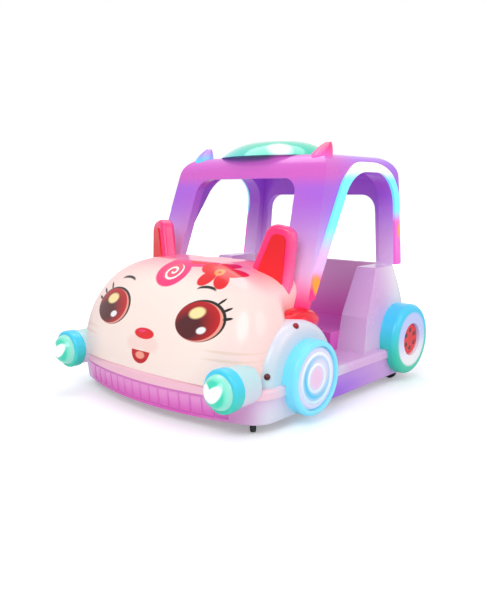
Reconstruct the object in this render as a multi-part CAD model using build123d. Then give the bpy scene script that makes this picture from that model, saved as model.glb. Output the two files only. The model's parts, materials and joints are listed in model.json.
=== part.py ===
from build123d import *
import math
import os

# Children's bumper car with a cat-faced hood, in millimetres.
# Z is up, the front faces -Y and the car's left side is +X.
# The origin is on the floor under the middle of the car.

# Driving dimensions: floor plan of the car
PLAN_HALF_WIDTH = 650.0
PLAN_NOSE_HALF_WIDTH = 640.0
PLAN_NOSE_Y = -700.0
PLAN_BOW_RADIUS = 1600.0
PLAN_NOSE_CORNER = 140.0
PLAN_TAIL_Y = 780.0
PLAN_TAIL_CORNER = 110.0

# Heights of the base
SKIRT_BOTTOM_Z = 50.0
RIM_BOTTOM_Z = 162.0
DECK_TOP_Z = 205.0
DECK_WALL = 10.0
SKIRT_INSET = 10.0
SKIRT_DRAFT = 14.0
SKIRT_WALL = 12.0
RIM_ROUND = 16.0
FLOOR_GAP = 2.0

# Footwell
WELL_HALF_WIDTH = 455.0
WELL_FRONT_Y = -60.0
WELL_BACK_Y = 178.0
WELL_CORNER = 60.0

# Hood: full cheeks at the front and a narrower cowl behind them
HOOD_HALF_WIDTH = 592.0
HOOD_LENGTH = 332.0
HOOD_CENTRE_Y = -358.0
HOOD_TOP_Z = 694.0
HOOD_PLAN_POWER = 6.0
HOOD_SIDE_POWER = 2.9
HOOD_FRONT_POWER = 1.65
HOOD_BOW_SHARE = 0.5
HOOD_COWL_HALF_WIDTH = 470.0
HOOD_TAIL_Y = 60.0
HOOD_TAIL_DROP = 300.0
HOOD_LEVELS = (0.0, 0.22, 0.42, 0.6, 0.75, 0.87, 0.95, 0.985)
HOOD_WALL = 10.0
HOOD_BACK_Y = -40.0

# Front fender
FENDER_CENTRE_Y = -280.0
FENDER_RADIUS = 250.0
FENDER_OUTER_X = 622.0
FENDER_INNER_X = 330.0
FENDER_ROUND = 45.0
FENDER_WALL = 10.0

# Wheel covers on the sides, which are lamps and don't turn
FRONT_COVER_Y = -262.0
FRONT_COVER_Z = 208.0
FRONT_COVER_RADIUS = 168.0
REAR_COVER_Y = 594.0
REAR_COVER_Z = 236.0
REAR_COVER_RADIUS = 186.0
COVER_INNER_X = 585.0
COVER_OUTER_X = 690.0
FRONT_COVER_ROUND = 18.0
REAR_COVER_ROUND = 28.0
FRONT_DISC_RADIUS = 143.0
REAR_CAP_RADIUS = 86.0

# Headlamps
LAMP_X = 536.0
LAMP_Z = 222.0
LAMP_FACE_Y = -722.0
LAMP_RADIUS = 75.0
LAMP_DOME = 58.0
LAMP_RING_RADIUS = 93.0
LAMP_RING_LENGTH = 60.0
LAMP_POD_RADIUS = 86.0
LAMP_POD_BACK_Y = -560.0

# Rear body, seat and dash
TAIL_TOP_Z = 620.0
TAIL_TOP_HALF_WIDTH = 556.0
TAIL_TOP_Y = 690.0
TAIL_MID_Z = 390.0
TAIL_MID_HALF_WIDTH = 592.0
TAIL_MID_Y = 752.0
TAIL_BASE_HALF_WIDTH = 606.0
TAIL_BASE_Y = 764.0
TAIL_CORNER = 120.0
TAIL_FRONT_BASE_Y = 250.0
TAIL_FRONT_TOP_Y = 425.0
CABIN_HALF_WIDTH = 445.0
SEAT_TOP_Z = 300.0
SEAT_FRONT_Y = 190.0
SEAT_BACK_Y = 625.0
SEAT_BACK_LEAN = 20.0
SEAT_BACK_THICK = 30.0
SEAT_WALL = 12.0
DASH_THICK = 12.0

# Canopy
ROOF_TOP_Z = 1192.0
ROOF_HALF_WIDTH = 492.0
CANOPY_FOOT_HALF_WIDTH = 556.0
CANOPY_FOOT_Z = 430.0
ROOF_ROUND = 105.0
CANOPY_WALL = 42.0
CANOPY_BASE_Z = 370.0
CANOPY_FRONT_LOW_Y = -190.0
CANOPY_FRONT_HIGH_Y = 74.0
CANOPY_BACK_Y = 735.0
CANOPY_END_ROUND = 115.0
PILLAR_DEPTH = 84.0
ARCH_FRONT_LOW_Y = -240.0
ARCH_FRONT_HIGH_Y = 247.0
ARCH_BACK_HIGH_Y = 700.0
ARCH_BACK_LOW_Y = 655.0
ARCH_TOP_Z = 1133.0
ARCH_FRONT_ROUND = 270.0
ARCH_BACK_ROUND = 190.0
STRIP_WIDTH = 50.0
STRIP_RISE = 14.0
STRIP_MARGIN = 4.0
STRIP_FOOT_Z = 520.0

# Steel frame
TUBE = 30.0
TUBE_WALL = 2.5
FRAME_BOTTOM_Z = 104.0
RAIL_X = 430.0
RAIL_FRONT_Y = -560.0
RAIL_BACK_Y = 690.0
CROSS_YS = (-530.0, -200.0, 210.0, 440.0, 660.0)
PLATE_THICK = 4.0

# Casters
CASTER_FRONT_X = 515.0
CASTER_FRONT_Y = -495.0
CASTER_REAR_X = 535.0
CASTER_REAR_Y = 600.0
CASTER_WHEEL_RADIUS = 38.0
CASTER_WHEEL_WIDTH = 24.0
CASTER_TRAIL = 26.0
CASTER_GAP = 5.0
CASTER_SHEET = 4.0
CASTER_AXLE_RADIUS = 4.0
KINGPIN_RADIUS = 7.0
RUNNING_GAP = 0.05
CASTER_PLATE_SIZE = 96.0
CASTER_PLATE_THICK = 10.0
TYRE_CHAMFER = 4.0

# Drive wheels
DRIVE_RADIUS = 75.0
DRIVE_WIDTH = 42.0
DRIVE_X = 355.0
DRIVE_Y = 325.0
DRIVE_SHAFT_RADIUS = 7.0
MOTOR_LENGTH = 170.0
MOTOR_BODY = 58.0
MOTOR_CAN_RADIUS = 24.0
MOTOR_CLEARANCE = 12.0

# Ears on the hood
EAR_X = 356.0
EAR_Y = -205.0
EAR_Z = 540.0
EAR_BACK_LEAN = -8.0
EAR_OUT_LEAN = 11.0
EAR_TURN = 20.0
EAR_HALF_LOW = 112.0
EAR_HALF_HIGH = 66.0
EAR_HEIGHT = 325.0
EAR_TIP_SHARE = 0.9
EAR_THICK = 76.0
EAR_ROUND = 22.0
EAR_PANEL_MARGIN = 34.0
EAR_PANEL_THICK = 14.0

# Small lamps
MARKER_RADIUS = 14.0
MARKER_ANGLES = (12.0, 80.0)

# Battery
BATTERY_LENGTH = 340.0
BATTERY_WIDTH = 180.0
BATTERY_HEIGHT = 77.0

# Steering
STEER_CENTRE_Y = 85.0
STEER_CENTRE_Z = 500.0
STEER_TILT = 52.0
STEER_COLUMN_RADIUS = 30.0
STEER_COLUMN_BORE = 70.0
STEER_GAP = 6.0
STEER_RADIUS = 125.0
STEER_RIM_RADIUS = 13.0
STEER_SHAFT_RADIUS = 9.0


def save(shape, name):
    export_step(shape, "parts/" + name + ".step")


def block(x0, x1, y0, y1, z0, z1):
    size = Box(x1 - x0, y1 - y0, z1 - z0)
    return Pos((x0 + x1) / 2, (y0 + y1) / 2, (z0 + z1) / 2) * size


def rod_x(radius, x0, x1, y, z):
    return Pos((x0 + x1) / 2, y, z) * Rot(0, 90, 0) * Cylinder(radius, x1 - x0)


def rod_y(radius, x, y0, y1, z):
    return Pos(x, (y0 + y1) / 2, z) * Rot(90, 0, 0) * Cylinder(radius, y1 - y0)


def rod_z(radius, x, y, z0, z1):
    return Pos(x, y, (z0 + z1) / 2) * Cylinder(radius, z1 - z0)


def shrink(share, power):
    # Half width of a rounded dome at this share of its height
    return (1 - share ** power) ** (1 / power)


def bow_sag(x):
    return PLAN_BOW_RADIUS - math.sqrt(PLAN_BOW_RADIUS ** 2 - x ** 2)


def plan_face(inset, z):
    # The bow is one shallow arc, and its ends are rounded into the sides
    half = PLAN_NOSE_HALF_WIDTH
    sag = bow_sag(half)
    bow = ThreePointArc((-half, PLAN_NOSE_Y + sag), (0, PLAN_NOSE_Y), (half, PLAN_NOSE_Y + sag))
    rest = Polyline(
        (half, PLAN_NOSE_Y + sag),
        (PLAN_HALF_WIDTH, PLAN_TAIL_Y),
        (-PLAN_HALF_WIDTH, PLAN_TAIL_Y),
        (-half, PLAN_NOSE_Y + sag),
    )
    outline = make_face(bow + rest)
    outline = fillet(outline.vertices().group_by(Axis.Y)[0], PLAN_NOSE_CORNER)
    outline = fillet(outline.vertices().group_by(Axis.Y)[-1], PLAN_TAIL_CORNER)
    if inset > 0:
        outline = offset(outline, -inset)
    return Pos(0, 0, z) * outline


def plan_solid(inset_low, z0, inset_high, z1):
    return loft([plan_face(inset_low, z0), plan_face(inset_high, z1)])


def bumper_skirt():
    low = SKIRT_INSET + SKIRT_DRAFT
    outer = plan_solid(low, SKIRT_BOTTOM_Z, SKIRT_INSET, RIM_BOTTOM_Z)
    inner = plan_solid(low + SKIRT_WALL, SKIRT_BOTTOM_Z, SKIRT_INSET + SKIRT_WALL, RIM_BOTTOM_Z)
    return outer - inner


def rounded_block(half, y0, y1, z0, z1, corner):
    sketch = Pos(0, (y0 + y1) / 2, z0) * RectangleRounded(2 * half, y1 - y0, corner)
    return extrude(sketch, z1 - z0)


def base_tray():
    outer = extrude(plan_face(0, RIM_BOTTOM_Z), DECK_TOP_Z - RIM_BOTTOM_Z)
    outer = fillet(outer.edges().group_by(Axis.Z)[-1], RIM_ROUND)
    inner = extrude(plan_face(SKIRT_INSET + SKIRT_WALL, RIM_BOTTOM_Z), DECK_TOP_Z - DECK_WALL - RIM_BOTTOM_Z)
    tray = outer - inner
    floor_bottom = FRAME_BOTTOM_Z + TUBE + FLOOR_GAP
    floor_top = floor_bottom + DECK_WALL
    tub = rounded_block(WELL_HALF_WIDTH + DECK_WALL, WELL_FRONT_Y - DECK_WALL, WELL_BACK_Y + DECK_WALL,
                        floor_bottom, DECK_TOP_Z - DECK_WALL, WELL_CORNER + DECK_WALL)
    well = rounded_block(WELL_HALF_WIDTH, WELL_FRONT_Y, WELL_BACK_Y, floor_top, DECK_TOP_Z, WELL_CORNER)
    tray = tray + tub - well
    for side in (-1, 1):
        for y in (CROSS_YS[0], CROSS_YS[1], CROSS_YS[3], CROSS_YS[4]):
            boss = rod_z(22, side * RAIL_X, y, FRAME_BOTTOM_Z + TUBE, DECK_TOP_Z - DECK_WALL)
            tray = tray + boss
    return tray


def hood_solid(inset):
    rise = HOOD_TOP_Z - DECK_TOP_Z - inset
    faces = []
    for share in HOOD_LEVELS:
        faces.append(Pos(0, 0, DECK_TOP_Z + share * rise) * hood_section(share, inset))
    return loft(faces)


def hood_section(share, inset):
    # One closed curve from the middle of the back, round one cheek and the front, and home
    half = (HOOD_HALF_WIDTH - inset) * shrink(share, HOOD_SIDE_POWER)
    length = (HOOD_LENGTH - inset) * shrink(share, HOOD_FRONT_POWER)
    cowl = min(HOOD_COWL_HALF_WIDTH - inset, 0.94 * half)
    span = HOOD_TAIL_Y - HOOD_TAIL_DROP * share ** 10 - HOOD_CENTRE_Y
    flank = [
        (0.6 * cowl, 0.99 * span),
        (0.93 * cowl, 0.94 * span),
        (cowl, 0.8 * span),
        (cowl, 0.42 * span),
        ((cowl + half) / 2, 0.2 * span),
        (0.99 * half, 0.07 * span),
        (half, 0),
    ]
    for reach in (0.99, 0.955, 0.89, 0.78, 0.6, 0.35):
        depth = shrink(reach, HOOD_PLAN_POWER)
        bow = HOOD_BOW_SHARE * bow_sag(reach * half) * depth
        flank.append((reach * half, bow - length * depth))
    right = [(-x, HOOD_CENTRE_Y + y) for x, y in flank]
    left = [(x, HOOD_CENTRE_Y + y) for x, y in reversed(flank)]
    back = [(0, HOOD_CENTRE_Y + span)]
    nose = [(0, HOOD_CENTRE_Y - length)]
    return make_face(Spline(back + right + nose + left, periodic=True))


def front_of(y, shape):
    keep = block(-900, 900, -1200, y, -100, 1600)
    return shape & keep


def hood_shell(outer):
    inner = front_of(HOOD_BACK_Y, hood_solid(HOOD_WALL))
    return front_of(HOOD_BACK_Y, outer) - inner


def dash_panel(outer):
    slab = block(-900, 900, HOOD_BACK_Y, HOOD_BACK_Y + DASH_THICK, DECK_TOP_Z, HOOD_TOP_Z)
    return outer & slab


def fender_block(side):
    body = rod_x(FENDER_RADIUS, FENDER_INNER_X, FENDER_OUTER_X, FENDER_CENTRE_Y, DECK_TOP_Z)
    rim = body.edges().filter_by(GeomType.CIRCLE).group_by(Axis.X)[-1]
    body = fillet(rim, FENDER_ROUND)
    body = body & block(0, 900, -1200, 600, DECK_TOP_Z, 900)
    return body if side > 0 else mirror(body, Plane.YZ)


def fender(side, hood):
    hollow = rod_x(FENDER_RADIUS - FENDER_WALL, 0, FENDER_OUTER_X - FENDER_WALL,
                   FENDER_CENTRE_Y, DECK_TOP_Z)
    rim = hollow.edges().filter_by(GeomType.CIRCLE).group_by(Axis.X)[-1]
    hollow = fillet(rim, FENDER_ROUND - FENDER_WALL)
    if side < 0:
        hollow = mirror(hollow, Plane.YZ)
    shell = fender_block(side) - hollow - hood
    return shell


def cover_ring(y, z, radius, hole_radius, rounding):
    length = COVER_OUTER_X - COVER_INNER_X
    ring = Cylinder(radius, length) - Cylinder(hole_radius, length)
    rims = ring.edges().filter_by(GeomType.CIRCLE).group_by(Axis.Z)[-1]
    ring = fillet(rims.sort_by(SortBy.RADIUS)[-1], rounding)
    return Pos((COVER_INNER_X + COVER_OUTER_X) / 2, y, z) * Rot(0, 90, 0) * ring


def cover_disc(y, z, radius, sink, rounding):
    length = COVER_OUTER_X - COVER_INNER_X - sink
    body = Cylinder(radius, length)
    body = fillet(body.edges().filter_by(GeomType.CIRCLE).group_by(Axis.Z)[-1], rounding)
    return Pos(COVER_INNER_X + length / 2, y, z) * Rot(0, 90, 0) * body


def handed(shape, side):
    return shape if side > 0 else mirror(shape, Plane.YZ)


def tail_section(half, front, back, z):
    face = RectangleRounded(2 * half, 2 * (back - front), TAIL_CORNER)
    return Pos(0, front, z) * face


def rear_body():
    front = TAIL_FRONT_BASE_Y
    outer = loft([
        tail_section(TAIL_BASE_HALF_WIDTH, front, TAIL_BASE_Y, DECK_TOP_Z),
        tail_section(TAIL_MID_HALF_WIDTH, front, TAIL_MID_Y, TAIL_MID_Z),
        tail_section(TAIL_TOP_HALF_WIDTH, front, TAIL_TOP_Y, TAIL_TOP_Z),
    ])
    side = Polyline(
        (TAIL_FRONT_BASE_Y, DECK_TOP_Z - 1),
        (TAIL_FRONT_BASE_Y + 40, 380),
        (TAIL_FRONT_TOP_Y, TAIL_TOP_Z + 1),
        (PLAN_TAIL_Y + 50, TAIL_TOP_Z + 1),
        (PLAN_TAIL_Y + 50, DECK_TOP_Z - 1),
        (TAIL_FRONT_BASE_Y, DECK_TOP_Z - 1),
    )
    mask = extrude(Plane.YZ * make_face(side), 900, both=True)
    body = outer & mask
    room = Polyline(
        (TAIL_FRONT_BASE_Y - 400, DECK_TOP_Z - 1),
        (SEAT_BACK_Y + SEAT_BACK_THICK, DECK_TOP_Z - 1),
        (SEAT_BACK_Y + SEAT_BACK_THICK, SEAT_TOP_Z),
        (SEAT_BACK_Y + SEAT_BACK_THICK + SEAT_BACK_LEAN, TAIL_TOP_Z),
        (SEAT_BACK_Y + SEAT_BACK_THICK + SEAT_BACK_LEAN, TAIL_TOP_Z + 1),
        (TAIL_FRONT_BASE_Y - 400, TAIL_TOP_Z + 1),
        (TAIL_FRONT_BASE_Y - 400, DECK_TOP_Z - 1),
    )
    room = extrude(Plane.YZ * make_face(room), CABIN_HALF_WIDTH, both=True)
    return body - room


def seat_bench():
    outer = block(-CABIN_HALF_WIDTH, CABIN_HALF_WIDTH, SEAT_FRONT_Y, SEAT_BACK_Y, DECK_TOP_Z, SEAT_TOP_Z)
    inner = block(-CABIN_HALF_WIDTH + SEAT_WALL, CABIN_HALF_WIDTH - SEAT_WALL, SEAT_FRONT_Y + SEAT_WALL,
                  SEAT_BACK_Y - SEAT_WALL, DECK_TOP_Z, SEAT_TOP_Z - SEAT_WALL)
    return outer - inner


def seat_back():
    # Upright behind the bench, then leaning back
    top = SEAT_BACK_Y + SEAT_BACK_THICK + SEAT_BACK_LEAN
    side = Polyline(
        (SEAT_BACK_Y, DECK_TOP_Z),
        (SEAT_BACK_Y + SEAT_BACK_THICK, DECK_TOP_Z),
        (SEAT_BACK_Y + SEAT_BACK_THICK, SEAT_TOP_Z),
        (top, TAIL_TOP_Z),
        (top - SEAT_BACK_THICK, TAIL_TOP_Z),
        (SEAT_BACK_Y, SEAT_TOP_Z),
        (SEAT_BACK_Y, DECK_TOP_Z),
    )
    return extrude(Plane.YZ * make_face(side), CABIN_HALF_WIDTH, both=True)


def canopy_front_face(side_inset, top_inset):
    half_low = CANOPY_FOOT_HALF_WIDTH - side_inset
    half_high = ROOF_HALF_WIDTH - side_inset
    top = ROOF_TOP_Z - top_inset
    outline = Polyline(
        (-half_low, CANOPY_BASE_Z),
        (half_low, CANOPY_BASE_Z),
        (half_high, top),
        (-half_high, top),
        (-half_low, CANOPY_BASE_Z),
    )
    face = make_face(outline)
    corners = face.vertices().group_by(Axis.Y)[-1]
    face = fillet(corners, ROOF_ROUND - (side_inset + top_inset) / 2)
    return Plane.XZ * face


def canopy_side_face(inset):
    top = ROOF_TOP_Z - inset
    face = make_face(Polyline(
        (CANOPY_FRONT_LOW_Y + inset, CANOPY_BASE_Z),
        (CANOPY_FRONT_HIGH_Y + inset, top),
        (CANOPY_BACK_Y - inset, top),
        (CANOPY_BACK_Y - inset, CANOPY_BASE_Z),
        (CANOPY_FRONT_LOW_Y + inset, CANOPY_BASE_Z),
    ))
    corners = face.vertices().group_by(Axis.Y)[-1]
    face = fillet(corners, CANOPY_END_ROUND - inset)
    return Plane.YZ * face


def canopy_block(side_inset, inset):
    wide = extrude(canopy_front_face(side_inset, inset), 1500, both=True)
    long = extrude(canopy_side_face(inset), 900, both=True)
    return wide & long


def arch_area(grow):
    # Side view of the door arch: a leaning front, two rounded shoulders and a nearly upright back
    face = make_face(Polyline(
        (ARCH_FRONT_LOW_Y, CANOPY_BASE_Z),
        (ARCH_FRONT_HIGH_Y, ARCH_TOP_Z),
        (ARCH_BACK_HIGH_Y, ARCH_TOP_Z),
        (ARCH_BACK_LOW_Y, CANOPY_BASE_Z),
        (ARCH_FRONT_LOW_Y, CANOPY_BASE_Z),
    ))
    high = face.vertices().group_by(Axis.Y)[-1].sort_by(Axis.X)
    face = fillet(high[0], ARCH_FRONT_ROUND)
    high = face.vertices().group_by(Axis.Y)[-1].sort_by(Axis.X)
    face = fillet(high[-1], ARCH_BACK_ROUND)
    if grow != 0:
        face = offset(face, grow, kind=Kind.INTERSECTION)
    return face


def canopy_shell():
    shell = canopy_block(0, 0) - canopy_block(PILLAR_DEPTH, CANOPY_WALL)
    door = arch_area(-STRIP_WIDTH / 2 - STRIP_MARGIN)
    shell = shell - extrude(Plane.YZ * door, 900, both=True)
    glass = make_face(Polyline((-385, 300), (385, 300), (335, 1075), (-335, 1075), (-385, 300)))
    glass = fillet(glass.vertices().group_by(Axis.Y)[-1], 85)
    front_cut = Pos(0, 250, 0) * extrude(Plane.XZ * glass, 900)
    rear = make_face(Polyline((-420, 300), (420, 300), (380, 993), (-380, 993), (-420, 300)))
    rear = fillet(rear.vertices().group_by(Axis.Y)[-1], 85)
    rear_cut = Pos(0, 1150, 0) * extrude(Plane.XZ * rear, 900)
    shell = shell - front_cut - rear_cut
    shell = shell - block(-900, 900, 300, 1200, 0, TAIL_TOP_Z)
    shell = shell - block(-900, 900, -600, 300, 0, CANOPY_FOOT_Z)
    return shell


def light_strip(side):
    band = arch_area(STRIP_WIDTH / 2) - arch_area(-STRIP_WIDTH / 2)
    band = extrude(Plane.YZ * band, 900)
    skin = canopy_block(-STRIP_RISE, 0) - canopy_block(0, 0)
    strip = band & skin
    strip = strip - block(0, 900, 300, 1200, 0, TAIL_TOP_Z)
    strip = strip - block(0, 900, -600, 300, 0, STRIP_FOOT_Z)
    return handed(strip, side)


def roof_dome():
    face = loft([
        Pos(0, 290, ROOF_TOP_Z) * Ellipse(330, 250),
        Pos(0, 290, ROOF_TOP_Z + 40) * Ellipse(270, 200),
        Pos(0, 290, ROOF_TOP_Z + 78) * Ellipse(150, 105),
    ])
    return face


def roof_ear(side):
    ear = loft([
        Pos(side * 400, 120, ROOF_TOP_Z - 60) * Ellipse(70, 50),
        Pos(side * 405, 160, ROOF_TOP_Z + 20) * Ellipse(45, 35),
        Pos(side * 410, 190, ROOF_TOP_Z + 56) * Ellipse(15, 14),
    ])
    return ear


def ear_place(side, shape):
    # The ear stands on the hood, leans outward and back, and is turned a little to the side
    return handed(Pos(EAR_X, EAR_Y, EAR_Z) * Rot(EAR_BACK_LEAN, EAR_OUT_LEAN, EAR_TURN) * shape, side)


def ear_outline(half_low, half_high, height):
    # A tapering blade with a round tip, drawn upright in the XZ plane
    blade = make_face(Polyline((-half_low, 0), (half_low, 0), (half_high, height), (-half_high, height),
                               (-half_low, 0)))
    return fillet(blade.vertices().group_by(Axis.Y)[-1], EAR_TIP_SHARE * half_high)


def hood_ear(side):
    blade = extrude(Plane.XZ * ear_outline(EAR_HALF_LOW, EAR_HALF_HIGH, EAR_HEIGHT), EAR_THICK / 2, both=True)
    rims = blade.faces().sort_by(Axis.Y)
    blade = fillet(rims[0].edges() + rims[-1].edges(), EAR_ROUND)
    return ear_place(side, blade)


def hood_ear_panel(side):
    # The coloured inside of the ear, sunk halfway into its front
    half_low = EAR_HALF_LOW - EAR_PANEL_MARGIN
    half_high = EAR_HALF_HIGH - EAR_PANEL_MARGIN
    outline = ear_outline(half_low, half_high, EAR_HEIGHT - 1.3 * EAR_PANEL_MARGIN)
    plate = extrude(Plane.XZ * outline, EAR_PANEL_THICK / 2, both=True)
    return ear_place(side, Pos(0, -EAR_THICK / 2, 0) * plate)


def headlamp(side):
    x = side * LAMP_X
    ring_back = LAMP_FACE_Y + LAMP_RING_LENGTH
    pod = rod_y(LAMP_POD_RADIUS, x, ring_back, LAMP_POD_BACK_Y, LAMP_Z)
    ring = rod_y(LAMP_RING_RADIUS, x, LAMP_FACE_Y, ring_back, LAMP_Z)
    ring = fillet(ring.edges(), 12)
    lens = Pos(x, LAMP_FACE_Y, LAMP_Z) * Rot(90, 0, 0) * lens_solid()
    return pod, ring, lens


def lens_solid():
    ball_radius = (LAMP_RADIUS ** 2 + LAMP_DOME ** 2) / (2 * LAMP_DOME)
    ball = Pos(0, 0, LAMP_DOME - ball_radius) * Sphere(ball_radius)
    return ball & Pos(0, 0, LAMP_DOME / 2) * Cylinder(LAMP_RADIUS + 10, LAMP_DOME)


def square_tube(length):
    outer = Box(length, TUBE, TUBE)
    inner = Box(length, TUBE - 2 * TUBE_WALL, TUBE - 2 * TUBE_WALL)
    return outer - inner


def caster_places():
    return {
        "front_left": (CASTER_FRONT_X, CASTER_FRONT_Y, -45),
        "front_right": (-CASTER_FRONT_X, CASTER_FRONT_Y, 225),
        "rear_left": (CASTER_REAR_X, CASTER_REAR_Y, 0),
        "rear_right": (-CASTER_REAR_X, CASTER_REAR_Y, 180),
    }


def chassis_frame():
    mid_z = FRAME_BOTTOM_Z + TUBE / 2
    frame = None
    for side in (-1, 1):
        y = (RAIL_FRONT_Y + RAIL_BACK_Y) / 2
        rail = Pos(side * RAIL_X, y, mid_z) * Rot(0, 0, 90) * square_tube(RAIL_BACK_Y - RAIL_FRONT_Y)
        frame = rail if frame is None else frame + rail
    for y in CROSS_YS:
        cross = Pos(0, y, mid_z) * square_tube(2 * RAIL_X - TUBE)
        frame = frame + cross
    low = FRAME_BOTTOM_Z - CASTER_PLATE_THICK
    for x, y, turn in caster_places().values():
        side = math.copysign(1, x)
        half = CASTER_PLATE_SIZE / 2
        x0 = side * (RAIL_X - TUBE / 2)
        x1 = side * (abs(x) + half)
        plate = block(min(x0, x1), max(x0, x1), y - half, y + half, low, FRAME_BOTTOM_Z)
        plate = plate - rod_z(KINGPIN_RADIUS + RUNNING_GAP, x, y, low - 1, FRAME_BOTTOM_Z + 1)
        frame = frame + plate
    sheet_low = FRAME_BOTTOM_Z - PLATE_THICK
    for side in (-1, 1):
        x_mid = side * (motor_face_x() - MOTOR_LENGTH / 2)
        frame = frame + block(x_mid - MOTOR_LENGTH / 2, x_mid + MOTOR_LENGTH / 2,
                              CROSS_YS[2] - TUBE / 2, CROSS_YS[3] + TUBE / 2, sheet_low, FRAME_BOTTOM_Z)
    half = BATTERY_LENGTH / 2 + 5
    frame = frame + block(-half, half, CROSS_YS[3] - 15, CROSS_YS[4] + 15, sheet_low, FRAME_BOTTOM_Z)
    return frame


def motor_face_x():
    return DRIVE_X - DRIVE_WIDTH / 2 - MOTOR_CLEARANCE


def battery_block():
    y = (CROSS_YS[3] + CROSS_YS[4]) / 2
    z = FRAME_BOTTOM_Z
    return block(-BATTERY_LENGTH / 2, BATTERY_LENGTH / 2, y - BATTERY_WIDTH / 2, y + BATTERY_WIDTH / 2,
                 z, z + BATTERY_HEIGHT)


def caster_fork(x, y, turn):
    inner = CASTER_WHEEL_WIDTH / 2 + CASTER_GAP
    axle_z = CASTER_WHEEL_RADIUS
    crown_low = 2 * CASTER_WHEEL_RADIUS + CASTER_GAP
    crown_high = crown_low + CASTER_SHEET
    plate_low = FRAME_BOTTOM_Z - CASTER_PLATE_THICK
    crown = rod_z(CASTER_TRAIL, 0, 0, crown_low, crown_high)
    crown = crown + block(0, CASTER_TRAIL + 10, -inner - CASTER_SHEET, inner + CASTER_SHEET, crown_low, crown_high)
    fork = crown + rod_z(KINGPIN_RADIUS, 0, 0, crown_low, FRAME_BOTTOM_Z + 4)
    fork = fork + rod_z(KINGPIN_RADIUS + 6, 0, 0, FRAME_BOTTOM_Z + 2, FRAME_BOTTOM_Z + 6)
    fork = fork + rod_z(KINGPIN_RADIUS + 9, 0, 0, crown_high, plate_low - 2)
    for side in (-1, 1):
        leg = make_face(Polyline(
            (CASTER_TRAIL - 9, axle_z - 9), (CASTER_TRAIL + 9, axle_z - 9),
            (CASTER_TRAIL + 10, crown_high), (0, crown_high), (CASTER_TRAIL - 9, axle_z - 9)))
        y0 = side * (inner + CASTER_SHEET / 2)
        leg = extrude(Plane.XZ * leg, CASTER_SHEET / 2, both=True)
        fork = fork + Pos(0, y0, 0) * leg
    axle = Pos(CASTER_TRAIL, 0, axle_z) * Rot(90, 0, 0) * Cylinder(
        CASTER_AXLE_RADIUS, 2 * (inner + CASTER_SHEET) + 4)
    fork = fork + axle
    return Pos(x, y, 0) * Rot(0, 0, turn) * fork


def caster_wheel(x, y, turn):
    wheel = Cylinder(CASTER_WHEEL_RADIUS, CASTER_WHEEL_WIDTH)
    wheel = chamfer(wheel.edges().filter_by(GeomType.CIRCLE), TYRE_CHAMFER)
    wheel = wheel - Cylinder(CASTER_AXLE_RADIUS + RUNNING_GAP, CASTER_WHEEL_WIDTH)
    place = Pos(x, y, 0) * Rot(0, 0, turn) * Pos(CASTER_TRAIL, 0, CASTER_WHEEL_RADIUS)
    return place * Rot(90, 0, 0) * wheel


def drive_wheel(side):
    tyre = Cylinder(DRIVE_RADIUS, DRIVE_WIDTH)
    tyre = chamfer(tyre.edges().filter_by(GeomType.CIRCLE), 2 * TYRE_CHAMFER)
    shaft = Pos(0, 0, -DRIVE_WIDTH / 2 - 25) * Cylinder(DRIVE_SHAFT_RADIUS, 54)
    wheel = tyre + shaft
    wheel = Pos(DRIVE_X, DRIVE_Y, DRIVE_RADIUS) * Rot(0, 90, 0) * wheel
    if side < 0:
        wheel = mirror(wheel, Plane.YZ)
    return wheel


def drive_motor(side):
    x1 = motor_face_x()
    x0 = x1 - MOTOR_LENGTH
    top = FRAME_BOTTOM_Z - PLATE_THICK
    box = block(x1 - 60, x1, DRIVE_Y - MOTOR_BODY / 2, DRIVE_Y + MOTOR_BODY / 2, DRIVE_RADIUS - 28, top)
    can = rod_x(MOTOR_CAN_RADIUS, x0, x1 - 60, DRIVE_Y, DRIVE_RADIUS)
    motor = box + can - rod_x(DRIVE_SHAFT_RADIUS + RUNNING_GAP, x1 - 45, x1 + 1, DRIVE_Y, DRIVE_RADIUS)
    if side < 0:
        motor = mirror(motor, Plane.YZ)
    return motor


def steer_place(shape):
    # The wheel's axis leans back toward the driver
    return Pos(0, STEER_CENTRE_Y, STEER_CENTRE_Z) * Rot(-STEER_TILT, 0, 0) * shape


def steering_wheel():
    reach = STEER_RADIUS - STEER_RIM_RADIUS
    wheel = Torus(reach, STEER_RIM_RADIUS) + Cylinder(28, 20)
    for angle in (0, 180, 270):
        spoke = Rot(0, 0, angle) * Pos(reach / 2, 0, 0) * Box(reach, 24, 9)
        wheel = wheel + spoke
    shaft_length = STEER_GAP + STEER_COLUMN_BORE - 5
    shaft = rod_z(STEER_SHAFT_RADIUS, 0, 0, -10 - shaft_length, -9)
    return steer_place(wheel + shaft)


def steering_column(hood):
    top = -10 - STEER_GAP
    column = rod_z(STEER_COLUMN_RADIUS, 0, 0, top - 200, top)
    bore = rod_z(STEER_SHAFT_RADIUS + RUNNING_GAP, 0, 0, top - STEER_COLUMN_BORE, top + 1)
    column = steer_place(column - bore)
    return column & block(-100, 100, HOOD_BACK_Y + DASH_THICK, 400, 0, 900)


def marker_lamps(side):
    lamps = []
    ring = FENDER_RADIUS - FENDER_ROUND * 0.3
    for degrees in MARKER_ANGLES:
        angle = math.radians(degrees)
        y = FENDER_CENTRE_Y - ring * math.cos(angle)
        z = DECK_TOP_Z + ring * math.sin(angle)
        lamps.append(Pos(side * (FENDER_OUTER_X - FENDER_ROUND * 0.3), y, z) * Sphere(MARKER_RADIUS))
    return lamps


def pillar_boot(side):
    mound = scale(Sphere(1), by=(85, 120, 58))
    return Pos(side * 515, -185, 430) * mound


def tail_lamp(side, body):
    lamp = Pos(side * 480, 740, 330) * Rot(-90, 0, 0) * Cylinder(36, 50)
    lamp = fillet(lamp.edges().filter_by(GeomType.CIRCLE).group_by(Axis.Y)[-1], 14)
    return lamp - body


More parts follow.
